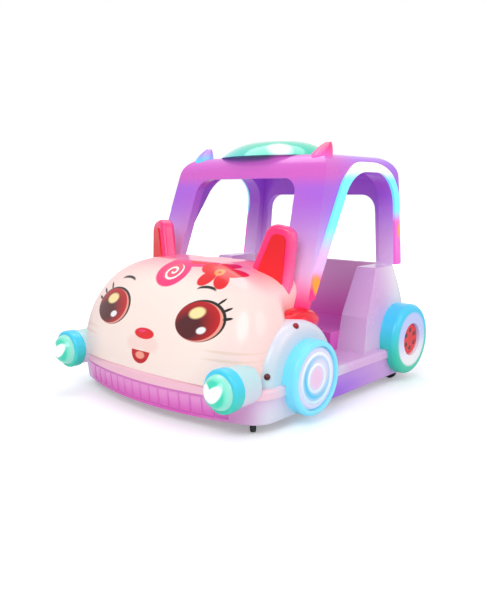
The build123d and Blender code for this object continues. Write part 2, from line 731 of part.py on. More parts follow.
os.makedirs("parts", exist_ok=True)

hood_outer = hood_solid(0)
hood_front = front_of(HOOD_BACK_Y + DASH_THICK, hood_outer)
base_block = plan_solid(SKIRT_INSET + SKIRT_DRAFT, SKIRT_BOTTOM_Z, SKIRT_INSET, RIM_BOTTOM_Z)
base_block = base_block + extrude(plan_face(0, RIM_BOTTOM_Z), DECK_TOP_Z - RIM_BOTTOM_Z)
tail = rear_body()
canopy_full = canopy_block(0, 0)
canopy = canopy_shell() - hood_front - fender_block(1) - fender_block(-1)

save(bumper_skirt(), "bumper_skirt")
save(base_tray(), "base_tray")
save(hood_shell(hood_outer), "hood_shell")
save(dash_panel(hood_outer), "dash_panel")
save(tail, "rear_body")
save(canopy, "canopy_shell")
save(seat_bench(), "seat_bench")
save(seat_back(), "seat_back")
save(chassis_frame(), "chassis_frame")
save(battery_block(), "battery_block")
save(Compound(children=[drive_motor(1), drive_motor(-1)]), "drive_motors")
save(steering_wheel(), "steering_wheel")
save(steering_column(hood_outer), "steering_column")

for name, (x, y, turn) in caster_places().items():
    save(caster_fork(x, y, turn), "caster_fork_" + name)
    save(caster_wheel(x, y, turn), "caster_wheel_" + name)

dome = roof_dome()
save(dome, "roof_dome")
panels = []
lenses = []
rings = []
pods = []
front_discs = []
rear_caps = []
boots = []
markers = []
tail_lamps = []
for side, hand in ((1, "left"), (-1, "right")):
    guard = fender_block(side)
    save(fender(side, hood_front), "front_fender_" + hand)
    save(light_strip(side), "light_strip_" + hand)
    save(roof_ear(side) - canopy_full - dome, "roof_ear_" + hand)
    panel = hood_ear_panel(side) - hood_front
    panels.append(panel)
    save(hood_ear(side) - hood_front - panel - canopy, "hood_ear_" + hand)
    save(drive_wheel(side), "drive_wheel_" + hand)
    pod, ring, lens = headlamp(side)
    pods.append(pod - base_block - guard - hood_front)
    rings.append(ring)
    lenses.append(lens)
    ring = handed(cover_ring(FRONT_COVER_Y, FRONT_COVER_Z, FRONT_COVER_RADIUS, FRONT_DISC_RADIUS,
                             FRONT_COVER_ROUND), side)
    save(ring - base_block - guard, "front_wheel_cover_" + hand)
    plate = handed(cover_disc(FRONT_COVER_Y, FRONT_COVER_Z, FRONT_DISC_RADIUS, 8, 20), side)
    front_discs.append(plate - base_block - guard)
    ring = handed(cover_ring(REAR_COVER_Y, REAR_COVER_Z, REAR_COVER_RADIUS, REAR_CAP_RADIUS,
                             REAR_COVER_ROUND), side)
    save(ring - base_block - tail, "rear_wheel_cover_" + hand)
    cap = handed(cover_disc(REAR_COVER_Y, REAR_COVER_Z, REAR_CAP_RADIUS, 12, 14), side)
    rear_caps.append(cap - base_block - tail)
    boots.append(pillar_boot(side) - hood_front - guard - canopy)
    for lamp in marker_lamps(side):
        markers.append(lamp - guard - hood_front)
    tail_lamps.append(tail_lamp(side, tail))
save(Compound(children=panels), "hood_ear_panels")
save(Compound(children=pods), "headlamp_pods")
save(Compound(children=rings), "headlamp_rings")
save(Compound(children=lenses), "headlamp_lenses")
save(Compound(children=front_discs), "front_cover_discs")
save(Compound(children=rear_caps), "rear_cover_caps")
save(Compound(children=boots), "pillar_boots")
save(Compound(children=markers), "marker_lamps")
save(Compound(children=tail_lamps), "tail_lamps")
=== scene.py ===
"""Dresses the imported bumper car: finishes for every CAD node, small added pieces and a studio."""
import json
import math

import bpy
import numpy as np
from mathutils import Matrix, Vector


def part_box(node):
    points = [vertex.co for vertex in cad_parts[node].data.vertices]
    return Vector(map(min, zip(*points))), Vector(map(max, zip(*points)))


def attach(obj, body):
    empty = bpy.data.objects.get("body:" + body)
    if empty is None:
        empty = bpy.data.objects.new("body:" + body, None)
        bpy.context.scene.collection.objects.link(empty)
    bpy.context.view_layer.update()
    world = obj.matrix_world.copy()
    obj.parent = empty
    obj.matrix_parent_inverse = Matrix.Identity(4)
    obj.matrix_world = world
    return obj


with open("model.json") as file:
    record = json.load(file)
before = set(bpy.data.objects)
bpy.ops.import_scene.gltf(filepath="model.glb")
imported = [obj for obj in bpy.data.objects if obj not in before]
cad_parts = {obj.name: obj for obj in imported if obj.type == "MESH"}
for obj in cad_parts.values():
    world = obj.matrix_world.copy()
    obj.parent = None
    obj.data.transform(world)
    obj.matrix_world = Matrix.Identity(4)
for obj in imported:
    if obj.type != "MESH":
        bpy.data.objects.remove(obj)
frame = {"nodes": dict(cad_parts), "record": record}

bl_info = {
    "name": "Bumper Car Finishes",
    "version": (1, 0, 0),
    "blender": (4, 5, 0),
    "location": "View3D > Sidebar > Bumper Car",
    "description": "Adds finishes, trim and a studio to a bumper car with an animal-faced hood",
    "category": "Object",
}


def colour(name, value):
    return bpy.props.FloatVectorProperty(name=name, description="Linear colour of the " + name.lower(),
                                         subtype="COLOR", size=3, min=0.0, max=1.0, default=value)


def length(name, value):
    return bpy.props.FloatProperty(name=name, description="Size in metres", unit="LENGTH", default=value)


class CarColours(bpy.types.PropertyGroup):
    """Colours that the finishes share."""
    cream: colour("Cream of the face", (1.0, 0.84, 0.77))
    blush: colour("Pink of the hood's edges", (0.93, 0.42, 0.47))
    hot_pink: colour("Hot pink", (0.93, 0.03, 0.20))
    red: colour("Red", (0.80, 0.004, 0.012))
    maroon: colour("Dark of the eyes", (0.08, 0.0, 0.004))
    magenta: colour("Magenta", (0.75, 0.12, 0.55))
    violet: colour("Violet", (0.37, 0.13, 0.80))
    lilac: colour("Lilac", (0.72, 0.42, 0.75))
    pale: colour("Pale moulding", (0.72, 0.71, 0.82))
    cyan: colour("Cyan", (0.06, 0.62, 0.93))
    teal: colour("Teal", (0.03, 0.60, 0.42))
    mint: colour("Mint", (0.45, 0.90, 0.78))
    white: colour("White", (0.93, 0.93, 0.96))
    beige: colour("Beige", (0.82, 0.60, 0.46))
    orange: colour("Orange", (1.0, 0.30, 0.03))
    black: colour("Black", (0.006, 0.005, 0.006))
    steel: colour("Painted steel", (0.03, 0.03, 0.035))
    zinc: colour("Zinc plate", (0.42, 0.43, 0.45))


class CarSizes(bpy.types.PropertyGroup):
    """Sizes of the added pieces, in metres."""
    rib_pitch: length("Rib pitch", 0.060)
    rib_width: length("Rib width", 0.054)
    rib_rise: length("Rib rise", 0.004)
    rib_margin: length("Rib margin", 0.014)
    bow_radius: length("Bow radius", 1.6)
    ring_width: length("Ring width", 0.016)
    ring_rise: length("Ring rise", 0.006)
    camera_lens: bpy.props.FloatProperty(name="Lens", description="Focal length in millimetres", default=39.07)
    camera_pitch: bpy.props.FloatProperty(name="Pitch", description="Tilt below level", subtype="ANGLE",
                                          default=math.radians(9.01))
    camera_turn: bpy.props.FloatProperty(name="Turn", description="Turn about the vertical", subtype="ANGLE",
                                         default=math.radians(41.79))
    camera_place: bpy.props.FloatVectorProperty(name="Camera place", description="Camera position",
                                                subtype="XYZ", unit="LENGTH", default=(2.232, -2.480, 1.000))


def colours():
    return bpy.context.scene.car_colours


def sizes():
    return bpy.context.scene.car_sizes


# Node helpers

def set_input(tree, socket, value):
    """Links a socket, or writes a plain value or colour."""
    if isinstance(value, bpy.types.NodeSocket):
        tree.links.new(value, socket)
    elif socket.type == "RGBA":
        socket.default_value = (*value, 1.0)
    else:
        socket.default_value = value


def calc(tree, operation, a, b=0.0, c=0.0):
    """One Math node."""
    node = tree.nodes.new("ShaderNodeMath")
    node.operation = operation
    for socket, value in zip(node.inputs, (a, b, c)):
        set_input(tree, socket, value)
    return node.outputs[0]


def fade(tree, value, low, high):
    """0 at low and 1 at high, smooth between them."""
    node = tree.nodes.new("ShaderNodeMapRange")
    node.interpolation_type = "SMOOTHSTEP"
    set_input(tree, node.inputs["Value"], value)
    node.inputs["From Min"].default_value = low
    node.inputs["From Max"].default_value = high
    return node.outputs["Result"]


def blend(tree, mask, first, second):
    """First colour where the mask is 0 and second where it is 1."""
    node = tree.nodes.new("ShaderNodeMix")
    node.data_type = "RGBA"
    set_input(tree, node.inputs[0], mask)
    set_input(tree, node.inputs[6], first)
    set_input(tree, node.inputs[7], second)
    return node.outputs[2]


def place(tree):
    """X, Y and Z of the shaded point in the car's own frame."""
    source = tree.nodes.new("ShaderNodeTexCoord")
    split = tree.nodes.new("ShaderNodeSeparateXYZ")
    tree.links.new(source.outputs["Object"], split.inputs[0])
    return split.outputs[0], split.outputs[1], split.outputs[2]


def new_group(name, inputs, output, kind):
    """An empty shader node group with float inputs and one output."""
    group = bpy.data.node_groups.new(name, "ShaderNodeTree")
    for label in inputs:
        group.interface.new_socket(label, in_out="INPUT", socket_type="NodeSocketFloat")
    group.interface.new_socket(output, in_out="OUTPUT", socket_type=kind)
    start = group.nodes.new("NodeGroupInput")
    end = group.nodes.new("NodeGroupOutput")
    return group, start.outputs, end.inputs[0]


def oval_group():
    """Mask that is 1 inside a turned oval: (p/rx)^2 + (q/ry)^2 < 1 with a soft edge."""
    group = bpy.data.node_groups.get("oval mask")
    if group:
        return group
    labels = ("U", "V", "Centre U", "Centre V", "Radius U", "Radius V", "Turn", "Soft")
    group, given, result = new_group("oval mask", labels, "Mask", "NodeSocketFloat")
    u = calc(group, "SUBTRACT", given["U"], given["Centre U"])
    v = calc(group, "SUBTRACT", given["V"], given["Centre V"])
    cosine = calc(group, "COSINE", given["Turn"])
    sine = calc(group, "SINE", given["Turn"])
    p = calc(group, "MULTIPLY_ADD", u, cosine, calc(group, "MULTIPLY", v, sine))
    q = calc(group, "SUBTRACT", calc(group, "MULTIPLY", v, cosine), calc(group, "MULTIPLY", u, sine))
    p = calc(group, "POWER", calc(group, "DIVIDE", p, given["Radius U"]), 2.0)
    q = calc(group, "POWER", calc(group, "DIVIDE", q, given["Radius V"]), 2.0)
    reach = calc(group, "SQRT", calc(group, "ADD", p, q))
    inside = calc(group, "SUBTRACT", 1.0, reach)
    mask = calc(group, "DIVIDE", inside, given["Soft"])
    group.links.new(calc(group, "MINIMUM", calc(group, "MAXIMUM", calc(group, "ADD", mask, 0.5), 0.0), 1.0), result)
    return group


def grain_group():
    """Normal of a gloss moulding: fine grain with a slow waviness under it."""
    group = bpy.data.node_groups.get("moulding grain")
    if group:
        return group
    group, given, result = new_group("moulding grain", ("Depth",), "Normal", "NodeSocketVector")
    source = group.nodes.new("ShaderNodeTexCoord")
    heights = []
    for scale, share in ((420.0, 0.3), (7.0, 1.0)):
        noise = group.nodes.new("ShaderNodeTexNoise")
        noise.inputs["Scale"].default_value = scale
        noise.inputs["Detail"].default_value = 2.0
        group.links.new(source.outputs["Object"], noise.inputs["Vector"])
        heights.append(calc(group, "MULTIPLY", noise.outputs["Fac"], share))
    bump = group.nodes.new("ShaderNodeBump")
    bump.inputs["Distance"].default_value = 0.002
    group.links.new(calc(group, "ADD", *heights), bump.inputs["Height"])
    group.links.new(given["Depth"], bump.inputs["Strength"])
    group.links.new(bump.outputs[0], result)
    return group


def oval(tree, u, v, centre, radii, turn=0.0, soft=0.06):
    """Mask of one oval on the (u, v) plane."""
    node = tree.nodes.new("ShaderNodeGroup")
    node.node_tree = oval_group()
    values = (u, v, centre[0], centre[1], radii[0], radii[1], turn, soft)
    for socket, value in zip(node.inputs, values):
        set_input(tree, socket, value)
    return node.outputs[0]


def cloudy(tree, scale, low, high):
    """Slow patches of noise between two values, for roughness and colour."""
    source = tree.nodes.new("ShaderNodeTexCoord")
    noise = tree.nodes.new("ShaderNodeTexNoise")
    noise.inputs["Scale"].default_value = scale
    noise.inputs["Detail"].default_value = 3.0
    tree.links.new(source.outputs["Object"], noise.inputs["Vector"])
    span = tree.nodes.new("ShaderNodeMapRange")
    span.inputs["From Min"].default_value = 0.3
    span.inputs["From Max"].default_value = 0.7
    span.inputs["To Min"].default_value = low
    span.inputs["To Max"].default_value = high
    tree.links.new(noise.outputs["Fac"], span.inputs["Value"])
    return span.outputs["Result"]


def start_material(name):
    """A new material and its Principled shader."""
    material = bpy.data.materials.new(name)
    material.use_nodes = True
    return material, material.node_tree, material.node_tree.nodes["Principled BSDF"]


def finish_gloss(tree, shader, base, glow=0.0, rough=0.24, grain=0.12, coat=0.22):
    """Gloss moulding: base colour, a painted glow that gives the base colour out as light, grain and a clear coat."""
    set_input(tree, shader.inputs["Base Color"], base)
    # Painted glow: the surface gives out its own base colour as light, on mouldings that are no lamps as well as on the
    # lamps.
    set_input(tree, shader.inputs["Emission Color"], base)
    shader.inputs["Emission Strength"].default_value = glow
    shader.inputs["Coat Weight"].default_value = coat
    shader.inputs["Coat Roughness"].default_value = 0.08
    shader.inputs["Specular IOR Level"].default_value = 0.32
    tree.links.new(cloudy(tree, 6.0, rough * 0.8, rough * 1.2), shader.inputs["Roughness"])
    node = tree.nodes.new("ShaderNodeGroup")
    node.node_tree = grain_group()
    node.inputs["Depth"].default_value = grain
    tree.links.new(node.outputs[0], shader.inputs["Normal"])


# Face of the hood: places and sizes in metres, turns in radians

EYE_X = 0.297
EYE_Z = 0.457
EYE_RADII = (0.126, 0.080)
EYE_EDGE = 0.03
OUTLINE_SHIFT = (0.006, 0.004)
OUTLINE_SHARE = (1.05, 1.06)
IRIS_SHIFT = (-0.008, 0.002)
IRIS_SHARE = (0.94, 0.98)
SHADE_SHIFT = (-0.052, -0.030)
SHADE_SHARE = (0.95, 0.98)
GLINT_SHIFT = (-0.020, 0.034)
GLINT_RADII = (0.042, 0.023)
SPARK_SHIFT = (0.030, -0.032)
SPARK_RADII = (0.024, 0.014)
LASHES = ((0.25, 0.98), (0.62, 1.02), (1.02, 1.04))
LASH_REACH = (1.17, 1.22)
LASH_RADII = (0.022, 0.0060)
LASH_SLOPE = 0.7
BROW_X = 0.268
BROW_Z = 0.584
BROW_RADII = (0.052, 0.016)
BROW_CUT_DROP = 0.011
BROW_CUT_RADII = (0.060, 0.016)
NOSE_Z = 0.372
NOSE_RADII = (0.066, 0.024)
MUZZLE_X = 0.050
MUZZLE_Z = 0.326
MUZZLE_RADII = (0.055, 0.034)
MOUTH_Z = 0.296
MOUTH_RADII = (0.062, 0.057)
TONGUE_DROP = 0.020
TONGUE_RADII = (0.030, 0.016)
WHISKER_X = 0.480
WHISKER_ZS = (0.350, 0.317)
WHISKER_RADII = (0.105, 0.0058)
SWIRL_PLACE = (0.005, 0.118)
SWIRL_RADIUS = 0.092
SWIRL_TURNS = 1.6
SWIRL_TAIL_PLACE = (0.085, 0.196)
SWIRL_TAIL_RADII = (0.150, 0.034)
SWIRL_TAIL_TURN = 0.05
FLOWER_PLACE = (0.272, 0.152)
FLOWER_PETAL_REACH = 0.058
FLOWER_PETALS = 5
FLOWER_STRETCH = 1.25
PETAL_RADII = (0.050, 0.038)
EAR_MIDDLE_WIDTH = 0.46
EAR_MIDDLE_HEIGHT = 0.62
LAMP_RIM_RADIUS = 0.082
LAMP_FACE_RADIUS = 0.066
HEART_LOBE_REACH = 0.0175
HEART_LOBE_RADII = (0.025, 0.040)
HEART_LOBE_TURN = 0.68

# Linear colours used in one place each
SALMON = (0.90, 0.34, 0.27)
IRIS_RED = (0.62, 0.003, 0.008)
GLINT_YELLOW = (1.0, 0.82, 0.38)
MUZZLE_PINK = (0.98, 0.66, 0.62)
MOUTH_RED = (0.55, 0.004, 0.01)
TONGUE_PINK = (0.95, 0.36, 0.27)
LAMP_RIM_GREEN = (0.16, 0.30, 0.26)


def eye_oval(tree, side, x, z, shift, share):
    """Oval placed from the middle of one eye, with radii that are shares of the eye's own."""
    centre = (side * EYE_X + shift[0], EYE_Z + shift[1])
    radii = (EYE_RADII[0] * share[0], EYE_RADII[1] * share[1])
    return oval(tree, x, z, centre, radii, 0.0, EYE_EDGE)


def paint_eye(tree, base, side, x, z, c):
    """Outline, iris, dark lower part, two highlights, a rim of salmon and three lashes."""
    rx, rz = EYE_RADII
    cx = side * EYE_X
    iris = eye_oval(tree, side, x, z, IRIS_SHIFT, IRIS_SHARE)
    base = blend(tree, eye_oval(tree, side, x, z, OUTLINE_SHIFT, OUTLINE_SHARE), base, c.black)
    base = blend(tree, eye_oval(tree, side, x, z, (0.0, 0.0), (1.0, 1.0)), base, SALMON)
    base = blend(tree, iris, base, IRIS_RED)
    shade_place = (cx + SHADE_SHIFT[0], EYE_Z + SHADE_SHIFT[1])
    shade = oval(tree, x, z, shade_place, (rx * SHADE_SHARE[0], rz * SHADE_SHARE[1]), 0.3, 0.9)
    base = blend(tree, calc(tree, "MULTIPLY", shade, iris), base, c.maroon)
    glint_place = (cx + GLINT_SHIFT[0], EYE_Z + GLINT_SHIFT[1])
    base = blend(tree, oval(tree, x, z, glint_place, GLINT_RADII, 0.15, 0.35), base, GLINT_YELLOW)
    spark_place = (cx + SPARK_SHIFT[0], EYE_Z + SPARK_SHIFT[1])
    base = blend(tree, oval(tree, x, z, spark_place, SPARK_RADII, 0.2, 0.35), base, c.white)
    for turn, reach in LASHES:
        lash_x = cx + side * LASH_REACH[0] * reach * rx * math.cos(turn)
        lash_z = EYE_Z + LASH_REACH[1] * reach * rz * math.sin(turn)
        lash = oval(tree, x, z, (lash_x, lash_z), LASH_RADII, side * turn * LASH_SLOPE, 0.3)
        base = blend(tree, lash, base, c.black)
    return base


def paint_face(tree, base, x, z, c):
    """Brows, nose, muzzle, mouth with its tongue, and whiskers."""
    for side in (-1, 1):
        base = paint_eye(tree, base, side, x, z, c)
        brow = oval(tree, x, z, (side * BROW_X, BROW_Z), BROW_RADII, 0.0, 0.2)
        under = oval(tree, x, z, (side * BROW_X, BROW_Z - BROW_CUT_DROP), BROW_CUT_RADII, 0.0, 0.2)
        base = blend(tree, calc(tree, "MULTIPLY", brow, calc(tree, "SUBTRACT", 1.0, under)), base, c.black)
        for height in WHISKER_ZS:
            line = oval(tree, x, z, (side * WHISKER_X, height), WHISKER_RADII, 0.0, 0.6)
            base = blend(tree, calc(tree, "MULTIPLY", line, 0.55), base, c.beige)
        puff = oval(tree, x, z, (side * MUZZLE_X, MUZZLE_Z), MUZZLE_RADII, 0.0, 0.5)
        base = blend(tree, calc(tree, "MULTIPLY", puff, 0.6), base, MUZZLE_PINK)
    base = blend(tree, oval(tree, x, z, (0.0, NOSE_Z), NOSE_RADII, 0.0, 0.12), base, c.red)
    base = blend(tree, oval(tree, x, z, (-0.016, NOSE_Z + 0.009), (0.022, 0.006), 0.1, 0.6), base, c.hot_pink)
    jaw = calc(tree, "LESS_THAN", z, MOUTH_Z)
    mouth = calc(tree, "MULTIPLY", oval(tree, x, z, (0.0, MOUTH_Z), MOUTH_RADII, 0.0, 0.06), jaw)
    base = blend(tree, mouth, base, MOUTH_RED)
    tongue = oval(tree, x, z, (0.0, MOUTH_Z - TONGUE_DROP), TONGUE_RADII, 0.0, 0.3)
    return blend(tree, calc(tree, "MULTIPLY", tongue, mouth), base, TONGUE_PINK)


def paint_swirl(tree, base, x, v, c):
    """Pink disc with a white spiral: the line shows where the angle keeps step with the radius."""
    disc = oval(tree, x, v, SWIRL_PLACE, (SWIRL_RADIUS * 1.08, SWIRL_RADIUS), 0.0, 0.08)
    base = blend(tree, oval(tree, x, v, SWIRL_TAIL_PLACE, SWIRL_TAIL_RADII, SWIRL_TAIL_TURN, 0.1), base, c.hot_pink)
    inner = (0.62 * SWIRL_TAIL_RADII[0], 0.30 * SWIRL_TAIL_RADII[1])
    base = blend(tree, oval(tree, x, v, SWIRL_TAIL_PLACE, inner, SWIRL_TAIL_TURN, 0.5), base, c.red)
    base = blend(tree, disc, base, c.hot_pink)
    dx = calc(tree, "SUBTRACT", x, SWIRL_PLACE[0])
    dv = calc(tree, "SUBTRACT", v, SWIRL_PLACE[1])
    radius = calc(tree, "SQRT", calc(tree, "ADD", calc(tree, "POWER", dx, 2.0), calc(tree, "POWER", dv, 2.0)))
    angle = calc(tree, "DIVIDE", calc(tree, "ARCTAN2", dv, dx), 2 * math.pi)
    turns = calc(tree, "MULTIPLY", radius, SWIRL_TURNS / (0.62 * SWIRL_RADIUS))
    wave = calc(tree, "FRACT", calc(tree, "SUBTRACT", turns, angle))
    line = calc(tree, "LESS_THAN", calc(tree, "ABSOLUTE", calc(tree, "SUBTRACT", wave, 0.5)), 0.17)
    core = oval(tree, x, v, SWIRL_PLACE, (SWIRL_RADIUS * 0.64, SWIRL_RADIUS * 0.60), 0.0, 0.08)
    base = blend(tree, calc(tree, "MULTIPLY", core, 0.2), base, c.orange)
    return blend(tree, calc(tree, "MULTIPLY", line, core), base, c.white)


def paint_flower(tree, base, x, v, c):
    """Five round petals about an orange middle."""
    for step in range(FLOWER_PETALS):
        angle = 2 * math.pi * step / FLOWER_PETALS + 0.5 * math.pi
        centre = (FLOWER_PLACE[0] + FLOWER_STRETCH * FLOWER_PETAL_REACH * math.cos(angle),
                  FLOWER_PLACE[1] + FLOWER_PETAL_REACH * math.sin(angle))
        base = blend(tree, oval(tree, x, v, centre, PETAL_RADII, angle, 0.12), base, c.red)
    base = blend(tree, oval(tree, x, v, FLOWER_PLACE, (0.026, 0.021), 0.0, 0.4), base, c.orange)
    return blend(tree, oval(tree, x, v, FLOWER_PLACE, (0.010, 0.008), 0.0, 0.5), base, c.red)


def make_hood_finish(c):
    """Cream face that turns pink toward the edges, the cream middle being a painted glow, with the painted face on its
    front.
    """
    material, tree, shader = start_material("hood_face")
    x, y, z = place(tree)
    # Painted glow: a soft oval makes the middle of the hood cream and leaves its edges pink, as if lit through from
    # inside.
    glow = oval(tree, x, z, (0.02, 0.38), (0.66, 0.42), 0.0, 0.95)
    base = blend(tree, glow, c.blush, c.cream)
    crown = calc(tree, "MULTIPLY", fade(tree, z, 0.55, 0.70), fade(tree, y, -0.56, -0.30))
    base = blend(tree, calc(tree, "MULTIPLY", crown, 0.75), base, c.hot_pink)
    slope = calc(tree, "MULTIPLY", calc(tree, "ADD", z, y), math.sqrt(0.5))
    base = paint_swirl(tree, base, x, slope, c)
    base = paint_flower(tree, base, x, slope, c)
    base = paint_face(tree, base, x, z, c)
    finish_gloss(tree, shader, base, glow=0.05, rough=0.20, grain=0.05, coat=0.25)
    return material


# Other finishes

def make_skirt_finish(c):
    """Magenta at the front and violet along the side, paler towards its top."""
    material, tree, shader = start_material("skirt_gloss")
    x, y, z = place(tree)
    base = blend(tree, fade(tree, y, -0.30, -0.05), c.pale, c.violet)
    base = blend(tree, fade(tree, y, -0.66, -0.50), c.magenta, base)
    base = blend(tree, calc(tree, "MULTIPLY", fade(tree, y, -0.1, 0.5), 0.8), base, c.lilac)
    base = blend(tree, calc(tree, "MULTIPLY", fade(tree, z, 0.08, 0.16), 0.35), base, c.lilac)
    finish_gloss(tree, shader, base, glow=0.08)
    return material


def make_tray_finish(c):
    """Pale pink rim that turns bluish behind the lamps."""
    material, tree, shader = start_material("tray_gloss")
    x, y, z = place(tree)
    base = blend(tree, fade(tree, y, -0.62, -0.35), (0.93, 0.55, 0.66), c.pale)
    base = blend(tree, calc(tree, "MULTIPLY", fade(tree, y, -0.10, 0.10), 0.9), base, c.lilac)
    finish_gloss(tree, shader, base, glow=0.06)
    return material


def make_tail_finish(c):
    """Lilac body, whiter toward the back corner and the bottom."""
    material, tree, shader = start_material("tail_gloss")
    x, y, z = place(tree)
    base = blend(tree, fade(tree, y, 0.40, 0.72), c.lilac, c.white)
    base = blend(tree, calc(tree, "MULTIPLY", fade(tree, z, 0.50, 0.20), 0.35), base, c.pale)
    finish_gloss(tree, shader, base, glow=0.05)
    return material


def make_seat_finish(c):
    """Lilac pink seat with a satin skin."""
    material, tree, shader = start_material("seat_satin")
    x, y, z = place(tree)
    base = blend(tree, fade(tree, z, 0.22, 0.62), c.magenta, (0.80, 0.50, 0.72))
    finish_gloss(tree, shader, base, glow=0.05, rough=0.34, grain=0.3, coat=0.2)
    return material


def make_canopy_finish(c):
    """Violet roof with a pink header, pale middle of the pillars and hot pink feet."""
    material, tree, shader = start_material("canopy_gloss")
    x, y, z = place(tree)
    base = blend(tree, fade(tree, z, 0.60, 1.00), (0.78, 0.62, 0.92), c.violet)
    base = blend(tree, calc(tree, "MULTIPLY", fade(tree, z, 0.66, 0.48), fade(tree, y, 0.3, 0.1)), base, c.hot_pink)
    header = calc(tree, "MULTIPLY", fade(tree, z, 1.02, 1.10), fade(tree, y, 0.45, 0.05))
    base = blend(tree, calc(tree, "MULTIPLY", header, 0.75), base, c.magenta)
    base = blend(tree, calc(tree, "MULTIPLY", cloudy(tree, 2.2, 0.0, 1.0), 0.35), base, c.magenta)
    finish_gloss(tree, shader, base, glow=0.10)
    return material


def make_strip_finish(c):
    """Lit strip: warm white over the roof, cyan down the pillars, with orange spots."""
    material, tree, shader = start_material("light_strip")
    x, y, z = place(tree)
    top = fade(tree, z, 1.06, 1.13)
    base = blend(tree, top, (0.16, 0.78, 1.0), (1.0, 0.93, 0.66))
    front = calc(tree, "MULTIPLY", fade(tree, z, 0.86, 0.70), fade(tree, y, 0.35, 0.25))
    base = blend(tree, front, base, c.lilac)
    foot = calc(tree, "MULTIPLY", fade(tree, z, 0.66, 0.58), fade(tree, y, 0.35, 0.25))
    base = blend(tree, foot, base, c.hot_pink)
    lower = calc(tree, "MULTIPLY", fade(tree, z, 0.92, 0.84), fade(tree, y, 0.45, 0.55))
    base = blend(tree, lower, base, c.magenta)
    for spot_y, spot_z in ((-0.092, 0.585), (0.712, 0.80)):
        mask = oval(tree, y, z, (spot_y, spot_z), (0.030, 0.045), 0.0, 0.6)
        base = blend(tree, mask, base, c.orange)
    finish_gloss(tree, shader, base, glow=0.40, rough=0.12, grain=0.05)
    return material


def make_dome_finish(c):
    """Green-teal lens that turns cyan at its rim, with a painted highlight as a soft white spot."""
    material, tree, shader = start_material("dome_lens")
    x, y, z = place(tree)
    base = blend(tree, oval(tree, x, y, (0.10, 0.22), (0.36, 0.26), 0.0, 0.9), c.cyan, c.teal)
    # Painted highlight: a soft white spot on the lens, off its middle.
    base = blend(tree, oval(tree, x, y, (0.16, 0.12), (0.06, 0.04), 0.0, 0.9), base, c.white)
    finish_gloss(tree, shader, base, glow=0.10, rough=0.12, grain=0.04, coat=0.5)
    return material


def make_fade_finish(name, low, high, top, bottom, glow=0.08):
    """Gloss moulding that turns from one colour to another with height."""
    material, tree, shader = start_material(name)
    x, y, z = place(tree)
    base = blend(tree, fade(tree, z, low, high), bottom, top)
    finish_gloss(tree, shader, base, glow=glow)
    return material


def make_ear_finish(c):
    """Hot pink ear with a lighter rim toward its tip and sides."""
    material, tree, shader = start_material("ear_gloss")
    x, y, z = place(tree)
    side = calc(tree, "ABSOLUTE", x)
    low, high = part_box("hood_ear_left")
    centre = ((low[0] + high[0]) / 2, (low[2] + high[2]) / 2)
    reach = (EAR_MIDDLE_WIDTH * (high[0] - low[0]), EAR_MIDDLE_HEIGHT * (high[2] - low[2]))
    middle = oval(tree, side, z, centre, reach, -0.2, 0.5)
    base = blend(tree, middle, (0.98, 0.16, 0.38), c.hot_pink)
    finish_gloss(tree, shader, base, glow=0.08)
    return material


def make_heart_lens_finish(c):
    """Teal lamp glass with a white heart: two turned ovals that cross at their lower ends."""
    material, tree, shader = start_material("lamp_lens")
    x, y, z = place(tree)
    low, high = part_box("headlamp_lenses")
    lamp_x = (high[0] - low[0]) / 2 - (high[2] - low[2]) / 2
    lamp_z = (high[2] + low[2]) / 2
    away = calc(tree, "SUBTRACT", calc(tree, "ABSOLUTE", x), lamp_x)
    rise = calc(tree, "SUBTRACT", z, lamp_z)
    rim = oval(tree, away, rise, (0.0, 0.0), (LAMP_RIM_RADIUS, LAMP_RIM_RADIUS), 0.0, 0.5)
    face = oval(tree, away, rise, (0.0, 0.0), (LAMP_FACE_RADIUS, LAMP_FACE_RADIUS), 0.0, 0.4)
    base = blend(tree, rim, LAMP_RIM_GREEN, c.mint)
    base = blend(tree, face, base, c.teal)
    for side in (-1, 1):
        lobe = (side * HEART_LOBE_REACH, 0.004)
        half = oval(tree, away, rise, lobe, HEART_LOBE_RADII, -side * HEART_LOBE_TURN, 0.30)
        base = blend(tree, half, base, c.white)
    finish_gloss(tree, shader, base, glow=0.25, rough=0.10, grain=0.02, coat=0.5)
    return material


def make_ring_finish(name, inner, outer, glow, node_name, radius):
    """Lamp ring whose colour changes from its hole to its rim, about the lamp's own middle."""
    material, tree, shader = start_material(name)
    x, y, z = place(tree)
    low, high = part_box(node_name)
    centre = ((low[1] + high[1]) / 2, (low[2] + high[2]) / 2)
    base = blend(tree, oval(tree, y, z, centre, (radius, radius), 0.0, 0.45), outer, inner)
    finish_gloss(tree, shader, base, glow=glow)
    return material


def make_disc_finish(c):
    """White-lilac wheel disc with a cyan crescent and a pinkish middle."""
    material, tree, shader = start_material("disc_gloss")
    x, y, z = place(tree)
    low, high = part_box("front_cover_discs")
    cy, cz = (low[1] + high[1]) / 2, (low[2] + high[2]) / 2
    base = blend(tree, oval(tree, y, z, (cy, cz), (0.14, 0.14), 0.0, 0.2), c.pale, (0.80, 0.78, 0.97))
    ring = oval(tree, y, z, (cy, cz), (0.098, 0.098), 0.0, 0.3)
    hole = oval(tree, y, z, (cy + 0.012, cz + 0.010), (0.078, 0.080), 0.0, 0.4)
    base = blend(tree, calc(tree, "MULTIPLY", ring, calc(tree, "SUBTRACT", 1.0, hole)), base, c.cyan)
    base = blend(tree, oval(tree, y, z, (cy, cz), (0.045, 0.050), 0.0, 0.8), base, (0.93, 0.62, 0.86))
    finish_gloss(tree, shader, base, glow=0.06)
    return material


